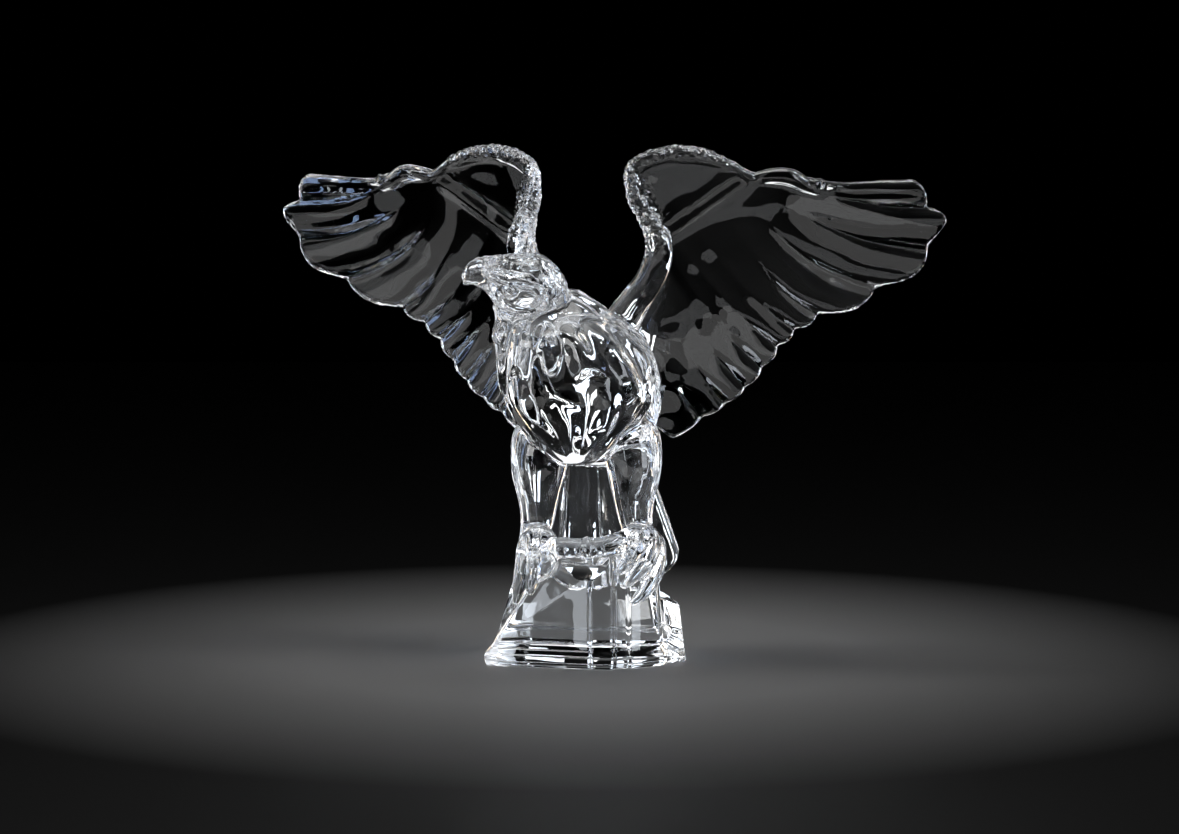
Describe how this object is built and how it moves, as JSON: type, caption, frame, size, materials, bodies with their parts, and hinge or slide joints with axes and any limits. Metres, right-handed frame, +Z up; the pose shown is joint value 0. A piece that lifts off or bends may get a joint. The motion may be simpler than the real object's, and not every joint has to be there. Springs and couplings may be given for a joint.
{
  "type": "crystal eagle figurine",
  "caption": "Clear cast crystal eagle with wings raised and head turned aside, gripping a faceted rock that is its base.",
  "frame": {"origin": "centre of the rock's flat underside, which the figurine stands on", "axes": "+Z up, -Y towards the rock's front, +X towards the raised wing on the viewer's right"},
  "size_m": [0.3103, 0.1223, 0.2368],
  "materials": {
    "crystal": "polished clear lead crystal, fire-polished relief"
  },
  "bodies": {
    "root": {"crystal_eagle": "crystal"}
  },
  "joints": []
}
